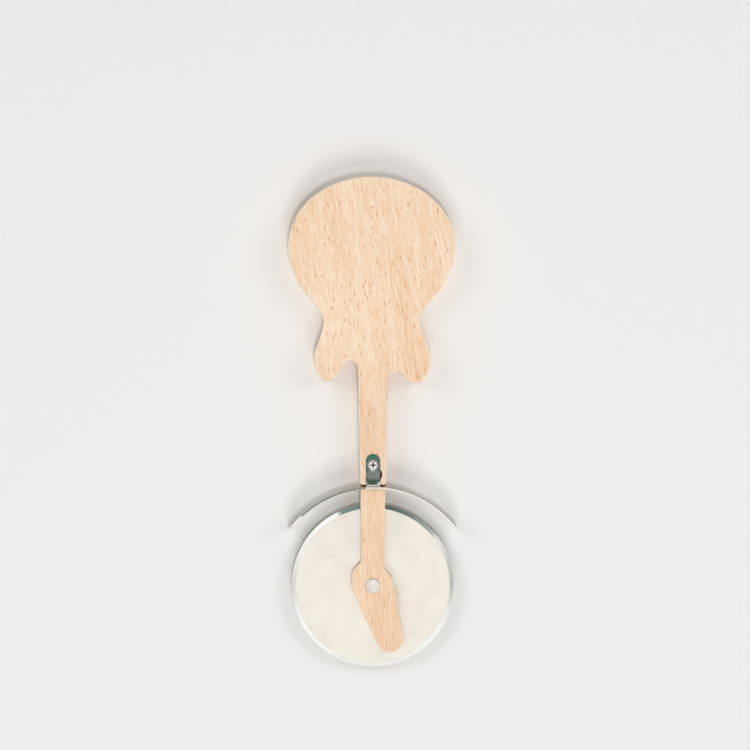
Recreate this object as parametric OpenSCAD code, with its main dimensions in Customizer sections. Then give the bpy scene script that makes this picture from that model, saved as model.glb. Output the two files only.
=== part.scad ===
// Pizza cutter with a guitar-shaped beech handle.
// The handle is one board: a rounded body, a neck and a thinner forked leg that ends in a headstock.
// A steel wheel turns on a two-piece rivet inside the fork. A curved steel guard straddles the neck
// and is held by a tongue that is bent out of its notch and screwed into a routed groove.
// +Y runs from the wheel to the body. The cutter lies on its flat back at Z = 0, with +Z up.

/* [Handle body] */
// Width of the body across its bout
body_w = 82.1; // [72:0.1:83]
// Thickness of the handle board
board_t = 15; // [14:0.1:18]
// From the widest line of the body to its round end
bout_top_h = 34.1; // [28:0.1:42]
// Half axis of the bout below the widest line, before the waist starts
bout_low_h = 38.3; // [36:0.1:40]
// From the widest line down to the tips of the horns
horn_drop = 67.6; // [60:0.1:78]
// Radius of the left cutaway between horn and neck
cutaway_left_r = 3.6; // [3:0.1:4.2]
// Radius of the right cutaway between horn and neck
cutaway_right_r = 4.2; // [3:0.1:4.4]
// Round-over along the edges of the board
edge_r = 0.8; // [0.5:0.1:1.2]

/* [Neck and leg] */
// Free length of the neck, from the tips of the horns to the shoulder at the guard
neck_len = 50; // [40:0.5:65]
// Width of the neck beside the body
neck_top_w = 14.6; // [14:0.1:17]
// Width of the neck at its shoulder
neck_end_w = 12.7; // [12.6:0.1:14]
// Corner radius of the shoulder, seen from the front
shoulder_r = 1.5; // [1.2:0.1:1.5]
// How far the leg lies back from the front of the board
step_front = 3; // [2.7:0.1:3.4]
// How far the leg lies in from the back of the board
step_back = 3; // [1.3:0.1:3.2]
// Width of the leg where it leaves the shoulder
leg_w = 12.3; // [12:0.1:12.5]
// Width of the leg just above the headstock
leg_low_w = 11.7; // [11:0.1:12.2]
// From the axle to the tip of the headstock
head_len = 33.4; // [30:0.1:36]
// Width of the headstock at the axle
head_w = 22.4; // [20:0.1:24]
// Round-over along the edges of the leg
leg_edge_r = 0.6; // [0.3:0.1:0.9]

/* [Wheel] */
// Diameter of the cutting wheel
wheel_d = 80; // [70:0.5:90]
// Thickness of the cutting wheel
wheel_t = 1; // [0.8:0.05:1.2]
// Width of the ground bevel at the rim
bevel_w = 2; // [1.2:0.1:3]
// Thickness left at the cutting edge
edge_t = 0.15; // [0.1:0.05:0.3]
// Free space between the rim of the wheel and the end of the kerf
kerf_end_gap = 3; // [1.5:0.1:4]

/* [Rivet and spacers] */
// Diameter of the tube of the rivet, on which the wheel turns
rivet_tube_d = 5; // [4.5:0.1:5.5]
// Diameter of the pin that is pressed into the tube
rivet_pin_d = 3.2; // [2.6:0.1:3.4]
// Diameter of both rivet heads
rivet_head_d = 7.1; // [6.6:0.1:9]
// Height of both rivet heads
rivet_head_h = 1.1; // [0.8:0.1:1.2]
// Outer diameter of the spacers beside the wheel
spacer_d = 11; // [9:0.1:14]
// Thickness of one spacer
spacer_t = 0.7; // [0.5:0.05:1]

/* [Guard] */
// Width of the guard strip, from back to front
guard_w = 16; // [15:0.1:20]
// Thickness of the guard sheet
guard_t = 0.8; // [0.7:0.05:1]
// Straight distance between the two tips of the guard
guard_span = 83.4; // [83:0.1:90]
// Inner radius of the curve of the guard
guard_r = 51; // [48:0.1:60]
// Free space between the rim of the wheel and the guard
guard_gap = 7.9; // [6:0.1:12]
// Corner radius at the tips of the guard
guard_corner_r = 3; // [1:0.1:5]
// Width of the tongue that lies in the groove
tongue_w = 7; // [6.6:0.1:7.2]
// Length of the tongue, from the guard to its round end
tongue_len = 16.2; // [15:0.1:20]
// Inner radius of the bend between guard and tongue
bend_r = 1.2; // [0.8:0.1:1.6]
// Depth of the run-out in the right wall of the groove
runout_depth = 0.9; // [0.3:0.1:1.2]
// Length of the run-out along the groove
runout_len = 5; // [3:0.1:6]
// Depth of the run-out below the floor of the groove
runout_drop = 3; // [0.5:0.5:4]
// Width of the routed groove in the neck
groove_w = 7.3; // [7.2:0.1:8]

/* [Screw and washer] */
// Diameter of the screw's shank
screw_d = 2.5; // [2:0.1:2.8]
// Length of the screw below its head
screw_len = 9; // [7:0.1:9.5]
// Diameter of the screw's head
screw_head_d = 4.8; // [4:0.1:5.4]
// Height of the screw's head
screw_head_h = 1.8; // [1.5:0.1:2]
// Outer diameter of the washer under the head
washer_d = 6; // [5.6:0.1:6.6]
// Thickness of the washer
washer_t = 0.5; // [0.4:0.05:0.8]
// From the guard to the screw, along the neck
screw_reach = 10.7; // [9.5:0.1:12]

/* [Hidden] */

// Clearances between pieces that meet
run_gap = 0.08;       // wheel bore on the rivet's tube
side_gap = 0.1;       // wheel face to each spacer
fit_gap = 0.05;       // a fastener in its drilled hole
press_gap = 0.02;     // rivet pin in the rivet's tube
notch_gap = 0.3;      // notch of the guard beside the leg
shoulder_gap = 1;     // guard to the shoulder of the neck
over = 1;             // overrun of cuts

// Colours, as seen on the object
beech_colour = [0.95, 0.83, 0.68];
steel_colour = [0.82, 0.81, 0.79];
rivet_colour = [0.87, 0.86, 0.85];
nylon_colour = [0.94, 0.94, 0.92];

// Levels along the handle, measured from the axle
wheel_r = wheel_d / 2;
guard_in_y = wheel_r + guard_gap;
guard_out_y = guard_in_y + guard_t;
shoulder_y = guard_out_y + shoulder_gap;
horn_y = shoulder_y + neck_len;
wide_y = horn_y + horn_drop;
top_y = wide_y + bout_top_h;
axle_y = wheel_r - (top_y + wheel_r) / 2;

// Levels through the thickness
leg_back_z = step_back;
leg_front_z = board_t - step_front;
wheel_z = (leg_back_z + leg_front_z) / 2;
kerf_w = wheel_t + 2 * (spacer_t + side_gap);
tongue_z = leg_front_z;
washer_z = tongue_z + guard_t;
screw_z = washer_z + washer_t;
kerf_r = wheel_r + kerf_end_gap;

// Run-out of the groove, as the chord of a round cutter, and the rounding of the groove's lips
runout_r = (runout_len * runout_len / 4 + runout_depth * runout_depth) / (2 * runout_depth);
lip_share = 0.8;
lip_r = shoulder_r * lip_share;

// Fineness of curves that are drawn as outlines
arc_step = 12;        // degrees of a fillet per side
bout_step = 5;        // degrees of the bout per side
round_steps = 3;      // sides of a quarter round along an edge
turned_steps = 6;     // sides of a quarter round on a turned piece
wheel_sides = 180;    // sides of the wheel and of the guard's curve in the quick mesh
full_turn = 360;
$fn = 48;

// Corners of the body as shares: across in half body widths from the body's middle line,
// down in horn drops from the widest line, radius in half body widths
waist_left_shares = [-0.542, 0.52, 0.288];
waist_right_shares = [0.552, 0.512, 0.21];
horn_left_side_shares = [-0.699, 0.807, 0.247];
horn_left_tip_shares = [-0.6, 1.122, 0.136];
horn_right_side_shares = [0.732, 0.845, 0.382];
horn_right_tip_shares = [0.561, 1.076, 0.141];
// Depth of the two cutaway corners, as shares of the horn drop
cutaway_left_share = 0.715;
cutaway_right_share = 0.813;
// The body's middle line lies a little left of the axle's, as a share of half the body width
body_shift_share = -0.0155;

// Corners of the headstock as shares: across in half head widths, along in head lengths from the axle,
// radius in half head widths. They run from the left shoulder round the tip to the right shoulder.
head_shares = [
    [-0.907, 0.216, 0.21],
    [-0.96, -0.022, 0.95],
    [0.133, -0.826, 0.37],
    [0.458, -0.975, 0.58],
    [1.078, -0.991, 0.45],
    [1.336, -0.811, 0.5],
    [1.309, -0.662, 1.11],
    [1.11, -0.356, 1.1],
    [1.065, -0.129, 1.11],
    [0.845, 0.124, 0.16]
];
shoulder_left_share = 0.363;
shoulder_right_share = 0.253;
shoulder_fillet_share = 0.09;

// Points of a polygon whose corners [x, y, radius] are rounded by tangent arcs
function heading(p, q) = atan2(q[1] - p[1], q[0] - p[0]);
function bend_angle(p, q, s) = let (turn = heading(q, s) - heading(p, q))
    turn > 180 ? turn - 360 : turn < -180 ? turn + 360 : turn;
function corner_arc(p, q, s) =
    q[2] == 0 ? [[q[0], q[1]]] :
    let (
        turn = bend_angle(p, q, s),
        side = sign(turn),
        back = q[2] * tan(abs(turn) / 2),
        toward = heading(p, q),
        start = [q[0] - back * cos(toward), q[1] - back * sin(toward)],
        centre = start + q[2] * [-side * sin(toward), side * cos(toward)],
        sides = max(2, ceil(abs(turn) / arc_step))
    )
    [for (i = [0 : sides]) let (a = toward - side * 90 + turn * i / sides)
        centre + q[2] * [cos(a), sin(a)]];
function rounded_path(corners) = let (n = len(corners))
    [for (i = [0 : n - 1]) each corner_arc(corners[(i + n - 1) % n], corners[i], corners[(i + 1) % n])];

// Bout of the body: two half ellipses that meet at the widest line and run on to the waist corners
bout_x = body_shift_share * body_w / 2;
function bout_point(a) = [
    bout_x + body_w / 2 * cos(a),
    wide_y + (sin(a) > 0 ? bout_top_h : bout_low_h) * sin(a),
    0
];
function body_corner(shares) = [
    bout_x + shares[0] * body_w / 2,
    wide_y - shares[1] * horn_drop,
    shares[2] * body_w / 2
];
// Angle on the lower ellipse at which a line from the waist corner touches it
function touch_angle(corner, side) = let (
        u = (corner[0] - bout_x) / (body_w / 2),
        v = (corner[1] - wide_y) / bout_low_h
    )
    atan2(v, u) + side * acos(1 / norm([u, v]));

// Half width of the neck at a level, from its shoulder to the body
function neck_half(y) = let (share = (y - shoulder_y) / neck_len)
    (neck_end_w + (neck_top_w - neck_end_w) * share) / 2;

waist_left = body_corner(waist_left_shares);
waist_right = body_corner(waist_right_shares);
bout_from = touch_angle(waist_right, 1);
bout_to = touch_angle(waist_left, -1) + full_turn;
bout_sides = ceil((bout_to - bout_from) / bout_step);
cut_left_y = wide_y - cutaway_left_share * horn_drop;
cut_right_y = wide_y - cutaway_right_share * horn_drop;

function body_outline() = rounded_path(concat(
    [[neck_half(shoulder_y), shoulder_y, shoulder_r],
     [neck_half(cut_right_y), cut_right_y, cutaway_right_r],
     body_corner(horn_right_tip_shares),
     body_corner(horn_right_side_shares),
     waist_right],
    [for (i = [0 : bout_sides]) bout_point(bout_from + (bout_to - bout_from) * i / bout_sides)],
    [waist_left,
     body_corner(horn_left_side_shares),
     body_corner(horn_left_tip_shares),
     [-neck_half(cut_left_y), cut_left_y, cutaway_left_r],
     [-neck_half(shoulder_y), shoulder_y, shoulder_r]]
));

function head_corner(shares) = [
    shares[0] * head_w / 2,
    shares[1] * head_len,
    shares[2] * head_w / 2
];

// The leg starts inside the neck, so that the two share wood
leg_root_y = shoulder_y + 2 * edge_r;
leg_fillet_r = shoulder_fillet_share * head_w / 2;

function leg_outline() = rounded_path(concat(
    [[leg_w / 2, leg_root_y, 0],
     [-leg_w / 2, leg_root_y, 0],
     [-leg_w / 2, shoulder_y, 0],
     [-leg_low_w / 2, shoulder_left_share * head_len, leg_fillet_r]],
    [for (shares = head_shares) head_corner(shares)],
    [[leg_low_w / 2, shoulder_right_share * head_len, leg_fillet_r],
     [leg_w / 2, shoulder_y, 0]]
));

// Outline drawn in by a distance, each corner along its own bisector; the points run anticlockwise
function edge_normal(p, q) = [p[1] - q[1], q[0] - p[0]] / norm(q - p);
function drawn_in(points, d) = let (n = len(points))
    [for (i = [0 : n - 1]) let (
            before = edge_normal(points[(i + n - 1) % n], points[i]),
            after = edge_normal(points[i], points[(i + 1) % n])
        )
        points[i] + (before + after) * d / (1 + before * after)];

// What a quarter round takes away along one edge of a board; up is 1 at the front, -1 at the back.
// Its section is a closed path of steps [in from the outline, height above the board's face].
module edge_waste(points, face_z, up, r) {
    n = len(points);
    section = concat(
        [for (i = [0 : round_steps]) let (a = 90 * i / round_steps)
            [r * (1 - sin(a)), -up * r * (1 - cos(a))]],
        [[-r / 2, -up * r],
         [-r / 2, up * over],
         [r, up * over]]
    );
    m = len(section);
    ring_points = [for (step = section)
        each [for (p = drawn_in(points, step[0])) [p[0], p[1], face_z + step[1]]]];
    sides = [for (k = [0 : m - 1], i = [0 : n - 1]) let (
            next_k = (k + 1) % m,
            next_i = (i + 1) % n,
            here = k * n + i,
            along = k * n + next_i,
            above = next_k * n + i,
            across = next_k * n + next_i
        )
        each (up > 0
            ? [[here, above, along], [along, above, across]]
            : [[here, along, above], [along, across, above]])];
    polyhedron(ring_points, sides);
}

// A board between two levels, with a quarter round along each edge of its outline
module rounded_board(points, low_z, high_z, r) {
    difference() {
        translate([0, 0, low_z])
            linear_extrude(high_z - low_z)
                polygon(points);
        edge_waste(points, low_z, -1, r);
        edge_waste(points, high_z, 1, r);
    }
}

module at_axle() {
    translate([0, axle_y, 0]) children();
}

// Routed groove for the tongue: a round end, a cutter's run-out in its right wall,
// and a mouth whose lips are rounded
groove_end_y = guard_out_y + tongue_len - tongue_w / 2;
groove_h = board_t - leg_front_z + over;

module groove() {
    translate([0, groove_end_y, leg_front_z])
        cylinder(d = groove_w, h = groove_h);
    translate([-groove_w / 2, shoulder_y - over, leg_front_z])
        cube([groove_w, groove_end_y - shoulder_y + over, groove_h]);
    translate([groove_w / 2, shoulder_y + runout_len, leg_front_z - runout_drop])
        intersection() {
            translate([runout_depth - runout_r, 0, 0])
                cylinder(r = runout_r, h = groove_h + runout_drop);
            translate([-runout_depth, -runout_r, 0])
                cube([2 * runout_depth, 2 * runout_r, groove_h + runout_drop]);
        }
    for (side = [-1, 1])
        translate([side * groove_w / 2, shoulder_y, leg_front_z])
            difference() {
                translate([-lip_r, -over, 0])
                    cube([2 * lip_r, lip_r + over, groove_h]);
                translate([side * lip_r, lip_r, -over])
                    cylinder(r = lip_r, h = groove_h + 2 * over);
            }
}

module handle() {
    color(beech_colour)
    at_axle() difference() {
        union() {
            rounded_board(body_outline(), 0, board_t, edge_r);
            rounded_board(leg_outline(), leg_back_z, leg_front_z, leg_edge_r);
        }
        groove();
        translate([0, 0, wheel_z - kerf_w / 2])
            cylinder(r = kerf_r, h = kerf_w, $fn = wheel_sides);
        translate([0, 0, leg_back_z - over])
            cylinder(d = rivet_tube_d + 2 * fit_gap, h = leg_front_z - leg_back_z + 2 * over);
        translate([0, guard_out_y + screw_reach, screw_z - screw_len - fit_gap])
            cylinder(d = screw_d + 2 * fit_gap, h = screw_len + over);
    }
}

// Strip of the guard: a length of a ring, with its front and back corners rounded
guard_y = guard_in_y - guard_r;
guard_out_r = guard_r + guard_t;
guard_half_angle = asin(guard_span / 2 / guard_out_r);

// What a rounded corner takes away, with the corner itself at the origin
module corner_waste(r, depth) {
    linear_extrude(depth, center = true)
        difference() {
            translate([-over, -over]) square(r + over);
            translate([r, r]) circle(r);
        }
}

module guard_corners() {
    for (side = [-1, 1], end = [0, 1])
        translate([0, guard_y, end * guard_w])
            rotate([0, 0, side * guard_half_angle])
                translate([0, guard_r + guard_t / 2, 0])
                    rotate([90, 0, 0])
                        mirror([side < 0 ? 1 : 0, 0, 0])
                            mirror([0, end, 0])
                                corner_waste(guard_corner_r, guard_t + 2 * over);
}

module guard() {
    notch_w = leg_w + 2 * notch_gap;
    color(steel_colour)
    at_axle() {
        difference() {
            union() {
                difference() {
                    translate([0, guard_y, 0])
                        rotate([0, 0, 90 - guard_half_angle])
                            rotate_extrude(angle = 2 * guard_half_angle, $fn = wheel_sides)
                                translate([guard_r, 0])
                                    square([guard_t, guard_w]);
                    translate([-notch_w / 2, guard_in_y - over, -over])
                        cube([notch_w, guard_t + 2 * over, tongue_z + fit_gap + over]);
                    translate([-tongue_w / 2, guard_in_y - over, 0])
                        cube([tongue_w, guard_t + 2 * over, washer_z + bend_r]);
                    guard_corners();
                }
                tongue();
            }
            translate([0, guard_out_y + screw_reach, tongue_z - over])
                cylinder(d = screw_d + 2 * notch_gap, h = guard_t + 2 * over);
        }
    }
}

// Tongue: bent up out of the notch, then flat along the groove to a round end
module tongue() {
    translate([-tongue_w / 2, guard_out_y + bend_r, washer_z + bend_r])
        rotate([0, 90, 0])
            rotate([0, 0, 180])
                intersection() {
                    difference() {
                        cylinder(r = bend_r + guard_t, h = tongue_w);
                        translate([0, 0, -over]) cylinder(r = bend_r, h = tongue_w + 2 * over);
                    }
                    translate([-2 * (bend_r + guard_t), 0, -over])
                        cube([2 * (bend_r + guard_t), 2 * (bend_r + guard_t), tongue_w + 2 * over]);
                }
    translate([-tongue_w / 2, guard_out_y + bend_r, tongue_z])
        cube([tongue_w, tongue_len - bend_r - tongue_w / 2, guard_t]);
    translate([0, guard_out_y + tongue_len - tongue_w / 2, tongue_z])
        cylinder(d = tongue_w, h = guard_t);
}

module at_screw(z) {
    at_axle() translate([0, guard_out_y + screw_reach, z]) children();
}

// Parts of the screw as shares: of its head's diameter, and of its shank's diameter
cross_len_share = 0.55;
cross_w_share = 0.17;
point_share = 0.2;

module guard_screw() {
    head_r = screw_head_d / 2;
    rim_h = screw_head_h / 2;
    crown_r = head_r / 2;
    cross_len = screw_head_d * cross_len_share;
    cross_w = screw_head_d * cross_w_share;
    tip_h = screw_d;
    color(steel_colour)
    at_screw(screw_z) {
        difference() {
            rotate_extrude()
                polygon(concat(
                    [[0, 0], [head_r, 0]],
                    [for (i = [0 : turned_steps]) let (a = 90 * i / turned_steps)
                        [head_r - crown_r + crown_r * cos(a), rim_h + (screw_head_h - rim_h) * sin(a)]],
                    [[0, screw_head_h]]
                ));
            for (turn = [0, 90])
                rotate([0, 0, turn])
                    translate([-cross_len / 2, -cross_w / 2, screw_head_h - rim_h])
                        cube([cross_len, cross_w, rim_h + over]);
        }
        translate([0, 0, tip_h - screw_len])
            cylinder(d = screw_d, h = screw_len - tip_h);
        translate([0, 0, -screw_len])
            cylinder(d1 = screw_d * point_share, d2 = screw_d, h = tip_h);
    }
}

module guard_washer() {
    color(steel_colour)
    at_screw(washer_z)
        difference() {
            cylinder(d = washer_d, h = washer_t);
            translate([0, 0, -over])
                cylinder(d = screw_d + 2 * notch_gap, h = washer_t + 2 * over);
        }
}

module blade() {
    color(steel_colour)
    at_axle() translate([0, 0, wheel_z])
        rotate_extrude($fn = wheel_sides)
            polygon([
                [rivet_tube_d / 2 + run_gap, -wheel_t / 2],
                [wheel_r - bevel_w, -wheel_t / 2],
                [wheel_r, -edge_t / 2],
                [wheel_r, edge_t / 2],
                [wheel_r - bevel_w, wheel_t / 2],
                [rivet_tube_d / 2 + run_gap, wheel_t / 2]
            ]);
}

module spacer(side) {
    base_z = wheel_z + (side > 0 ? kerf_w / 2 - spacer_t : -kerf_w / 2);
    color(nylon_colour)
    at_axle() translate([0, 0, base_z])
        difference() {
            cylinder(d = spacer_d, h = spacer_t);
            translate([0, 0, -over])
                cylinder(d = rivet_tube_d + 2 * fit_gap, h = spacer_t + 2 * over);
        }
}

// Head of a rivet half with a rounded rim, standing up from its underside
module rivet_head() {
    rim_r = rivet_head_h / 2;
    rotate_extrude()
        polygon(concat(
            [[0, 0], [rivet_head_d / 2, 0]],
            [for (i = [0 : turned_steps]) let (a = 90 * i / turned_steps)
                [rivet_head_d / 2 - rim_r + rim_r * cos(a), rivet_head_h - rim_r + rim_r * sin(a)]],
            [[0, rivet_head_h]]
        ));
}

tube_len = leg_front_z - leg_back_z - rivet_head_h;
pin_len = tube_len - rivet_tube_d / 2;

module rivet_back() {
    color(rivet_colour)
    at_axle() translate([0, 0, leg_back_z]) {
        rotate([180, 0, 0]) rivet_head();
        difference() {
            cylinder(d = rivet_tube_d, h = tube_len);
            translate([0, 0, rivet_pin_d / 2])
                cylinder(d = rivet_pin_d, h = tube_len);
        }
    }
}

module rivet_front() {
    color(rivet_colour)
    at_axle() translate([0, 0, leg_front_z]) {
        rivet_head();
        translate([0, 0, -pin_len])
            cylinder(d = rivet_pin_d - 2 * press_gap, h = pin_len);
    }
}

handle();
guard();
guard_screw();
guard_washer();
blade();
spacer(1);  // spacer_front
spacer(-1);  // spacer_back
rivet_front();
rivet_back();
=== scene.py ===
"""Looks of a pizza cutter with a guitar-shaped beech handle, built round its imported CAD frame.

Sizes inside the classes are millimetres from the wheel's axle, with the handle's back at height 0.
Each piece is moved into the frame, in metres, when its mesh is finished.
"""

import logging
import math
from collections.abc import Callable, Iterable, Iterator, Sequence
from contextlib import contextmanager
from dataclasses import dataclass, field
from enum import Enum
from functools import partial

import bmesh
import bpy
from bmesh.types import BMEdge, BMesh, BMFace, BMVert
from mathutils import Matrix, Vector

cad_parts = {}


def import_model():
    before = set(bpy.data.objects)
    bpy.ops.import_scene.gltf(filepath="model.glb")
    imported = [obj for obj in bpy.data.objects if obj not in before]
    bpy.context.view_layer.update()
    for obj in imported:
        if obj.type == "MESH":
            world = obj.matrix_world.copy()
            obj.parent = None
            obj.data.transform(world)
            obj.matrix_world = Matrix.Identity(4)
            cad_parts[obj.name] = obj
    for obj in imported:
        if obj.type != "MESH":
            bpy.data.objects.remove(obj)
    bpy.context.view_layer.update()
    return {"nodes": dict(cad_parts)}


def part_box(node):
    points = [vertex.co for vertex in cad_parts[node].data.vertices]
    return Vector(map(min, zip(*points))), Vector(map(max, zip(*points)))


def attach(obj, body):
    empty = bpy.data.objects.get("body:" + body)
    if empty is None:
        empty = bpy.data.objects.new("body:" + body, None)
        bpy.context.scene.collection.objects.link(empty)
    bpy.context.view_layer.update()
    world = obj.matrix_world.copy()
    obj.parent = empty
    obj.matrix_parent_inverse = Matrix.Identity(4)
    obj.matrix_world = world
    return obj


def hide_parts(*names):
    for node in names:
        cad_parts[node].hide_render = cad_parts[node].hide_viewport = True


LOG = logging.getLogger("pizza_cutter")
MM = 0.001
# Corners nearer than SAME millimetres are one, and heights nearer than LEVEL are equal
SAME = 1e-4
LEVEL = 1e-3

Corner = tuple[float, float, float]
Point = tuple[float, float]
Adder = Callable[..., bpy.types.Node]


# Meshes


def bend_between(before: Corner, here: Corner, after: Corner) -> tuple[float, float]:
    """Heading into a corner and the turn made there.

    Args:
        before: the corner before.
        here: the corner itself.
        after: the corner after.

    Returns:
        The heading and the signed turn, in degrees.
    """
    into = math.degrees(math.atan2(here[1] - before[1], here[0] - before[0]))
    out = math.degrees(math.atan2(after[1] - here[1], after[0] - here[0]))
    return into, (out - into + 180) % 360 - 180


def spun_arc(
    bm: BMesh, start: Vector, centre: Vector, turn: float, step: float
) -> list[BMVert]:
    """Spins one vertex about an upright axis, so that it draws an arc.

    Args:
        bm: the mesh to draw in.
        start: where the arc starts.
        centre: the arc's centre.
        turn: its signed angle in degrees.
        step: the largest angle of one side, in degrees.

    Returns:
        The arc's vertices in order.
    """
    first = len(bm.verts)
    seed = bmesh.ops.create_vert(bm, co=start)["vert"]
    bmesh.ops.spin(
        bm,
        geom=seed,
        cent=centre,
        axis=(0, 0, 1),
        angle=math.radians(turn),
        steps=max(2, math.ceil(abs(turn) / step)),
    )
    bm.verts.ensure_lookup_table()
    return bm.verts[first:]


def outline(bm: BMesh, corners: Sequence[Corner], z: float, step: float = 4) -> None:
    """Draws a closed face whose corners are rounded by arcs.

    Args:
        bm: the mesh to draw in.
        corners: x, y and radius of each corner, anticlockwise.
        z: the face's height.
        step: the largest angle of one side of an arc, in degrees.
    """
    ring: list[BMVert] = []
    for i, here in enumerate(corners):
        heading, turn = bend_between(corners[i - 1], here, corners[(i + 1) % len(corners)])
        radius = here[2]
        at = Vector((here[0], here[1], z))
        straight = abs(turn) < 0.01
        if radius == 0 or straight:
            ring += bmesh.ops.create_vert(bm, co=at)["vert"]
            continue
        along = Vector((math.cos(math.radians(heading)), math.sin(math.radians(heading)), 0))
        inward = Vector((-along.y, along.x, 0)) * math.copysign(1, turn)
        start = at - along * radius * math.tan(math.radians(abs(turn) / 2))
        ring += spun_arc(bm, start, start + inward * radius, turn, step)
    bm.faces.new(ring)


def board(corners: Sequence[Corner], low: float, high: float, round_over: float = 0) -> BMesh:
    """A board sawn to an outline, with a quarter round along its front and back edges.

    Args:
        corners: x, y and radius of each corner of the outline.
        low: height of its back.
        high: height of its front.
        round_over: radius of the rounding, or 0 for a square edge.

    Returns:
        The closed mesh.
    """
    bm = bmesh.new()
    outline(bm, corners, low)
    raised = bmesh.ops.extrude_face_region(bm, geom=bm.faces[:])["geom"]
    moved = [v for v in raised if isinstance(v, BMVert)]
    bmesh.ops.translate(bm, verts=moved, vec=(0, 0, high - low))
    bmesh.ops.recalc_face_normals(bm, faces=bm.faces)
    if round_over:
        rims = [e for e in bm.edges if e.verts[0].co.z == e.verts[1].co.z]
        bevelled(bm, rims, round_over, 4)
    return bm


def bevelled(bm: BMesh, edges: Iterable[BMEdge], width: float, segments: int) -> None:
    """Rounds edges.

    Args:
        bm: the mesh.
        edges: the edges that are rounded.
        width: the width of the rounding.
        segments: the number of its sides.
    """
    bmesh.ops.bevel(
        bm,
        geom=list(edges),
        offset=width,
        offset_type="OFFSET",
        affect="EDGES",
        segments=segments,
        profile=0.5,
        material=-1,
        clamp_overlap=False,
    )


@contextmanager
def opened(piece: bpy.types.Object) -> Iterator[BMesh]:
    """Opens a piece's mesh for editing, and puts it back afterwards.

    Args:
        piece: the piece.

    Yields:
        Its mesh.
    """
    bm = bmesh.new()
    bm.from_mesh(piece.data)
    yield bm
    bm.to_mesh(piece.data)
    bm.free()


def divide(bm: BMesh, faces: Sequence[BMFace], at: Corner, normal: Corner) -> None:
    """Draws a line across faces where a plane meets them.

    Args:
        bm: the mesh.
        faces: its faces that are divided.
        at: a point of the plane.
        normal: the plane's normal.
    """
    edges = {e for f in faces for e in f.edges}
    verts = {v for f in faces for v in f.verts}
    geom = [*verts, *edges, *faces]
    bmesh.ops.bisect_plane(bm, geom=geom, dist=SAME, plane_co=at, plane_no=normal)


def soften(
    piece: bpy.types.Object, width: float, segments: int,
    share_of: Callable[[BMEdge], float], finish: int = -1,
) -> None:
    """Rounds a piece's edges by a live bevel, each by its own share of a width.

    Args:
        piece: the piece, in millimetres.
        width: the full width in millimetres.
        segments: the number of sides.
        share_of: gives an edge's share of the width, from 0 to 1.
        finish: material number of the rounding, or -1 for that of the faces beside it.
    """
    with opened(piece) as bm:
        weight = bm.edges.layers.float.new("bevel_weight_edge")
        for edge in bm.edges:
            edge[weight] = share_of(edge)
    rounded = piece.modifiers.new("rounded_edges", "BEVEL")
    rounded.limit_method = "WEIGHT"
    rounded.width = width * MM
    rounded.segments = segments
    rounded.material = finish


def turned(profile: Sequence[Point], sides: int = 64) -> BMesh:
    """A piece turned on a lathe: a closed profile spun about the upright axis.

    Args:
        profile: radius and height of the profile's points, in order.
        sides: the number of sides of a full turn.

    Returns:
        The closed mesh.
    """
    bm = bmesh.new()
    ring = [bm.verts.new((r, 0, z)) for r, z in profile]
    edges = [bm.edges.new((ring[i - 1], ring[i])) for i in range(len(ring))]
    bmesh.ops.spin(
        bm,
        geom=ring + edges,
        cent=(0, 0, 0),
        axis=(0, 0, 1),
        angle=math.tau,
        steps=sides,
        use_merge=True,
    )
    bmesh.ops.remove_doubles(bm, verts=bm.verts, dist=SAME)
    return bm


def quarter_round(centre: Point, radius: float, start: float, steps: int = 5) -> list[Point]:
    """Points of a quarter circle on a profile, anticlockwise from an angle in degrees."""
    angles = [math.radians(start + 90 * i / steps) for i in range(steps + 1)]
    return [(centre[0] + radius * math.cos(a), centre[1] + radius * math.sin(a)) for a in angles]


def rod(radius: float, low: float, high: float, sides: int = 64) -> BMesh:
    """An upright round tool.

    Args:
        radius: its radius.
        low: height of its lower end.
        high: height of its upper end.
        sides: the number of sides of a full turn.

    Returns:
        The closed mesh.
    """
    bm = bmesh.new()
    bmesh.ops.create_cone(
        bm,
        cap_ends=True,
        segments=sides,
        radius1=radius,
        radius2=radius,
        depth=high - low,
        matrix=Matrix.Translation((0, 0, (low + high) / 2)),
    )
    return bm


def blank(bm: BMesh, name: str, place: Vector | None = None) -> bpy.types.Object:
    """Makes an object, still in millimetres, of a mesh with its faces pointing out.

    Args:
        bm: the mesh, which is used up.
        name: the object's name.
        place: how far the mesh is moved first.

    Returns:
        The object.
    """
    if place is not None:
        bmesh.ops.translate(bm, verts=bm.verts, vec=place)
    bmesh.ops.recalc_face_normals(bm, faces=bm.faces)
    mesh = bpy.data.meshes.new(name)
    bm.to_mesh(mesh)
    bm.free()
    # Two slots, so that a Boolean or a rim keeps the numbers of marked faces
    for label in ("main_faces", "marked_faces"):
        mesh.materials.append(bpy.data.materials.get(label) or bpy.data.materials.new(label))
    made = bpy.data.objects.new(name, mesh)
    bpy.context.scene.collection.objects.link(made)
    return made


def bake(piece: bpy.types.Object) -> None:
    """Applies a piece's modifiers to its mesh.

    Args:
        piece: the piece.
    """
    graph = bpy.context.evaluated_depsgraph_get()
    shaped = bpy.data.meshes.new_from_object(piece.evaluated_get(graph))
    piece.modifiers.clear()
    piece.data = shaped


def mark_faces(tool: bpy.types.Object) -> bpy.types.Object:
    """Gives a tool's faces material number 1, so that the cut it makes is told apart.

    Args:
        tool: the tool.

    Returns:
        The same tool.
    """
    for face in tool.data.polygons:
        face.material_index = 1
    return tool


def carve(piece: bpy.types.Object, tool: bpy.types.Object, operation: str = "DIFFERENCE") -> None:
    """Cuts a tool's shape from a piece, or joins it on, and removes the tool.

    Args:
        piece: the piece that changes.
        tool: the shape to cut or to join.
        operation: the Boolean modifier's operation.
    """
    cut = piece.modifiers.new("cut", "BOOLEAN")
    cut.operation = operation
    cut.solver = "EXACT"
    cut.object = tool
    bake(piece)
    bpy.data.objects.remove(tool)


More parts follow.
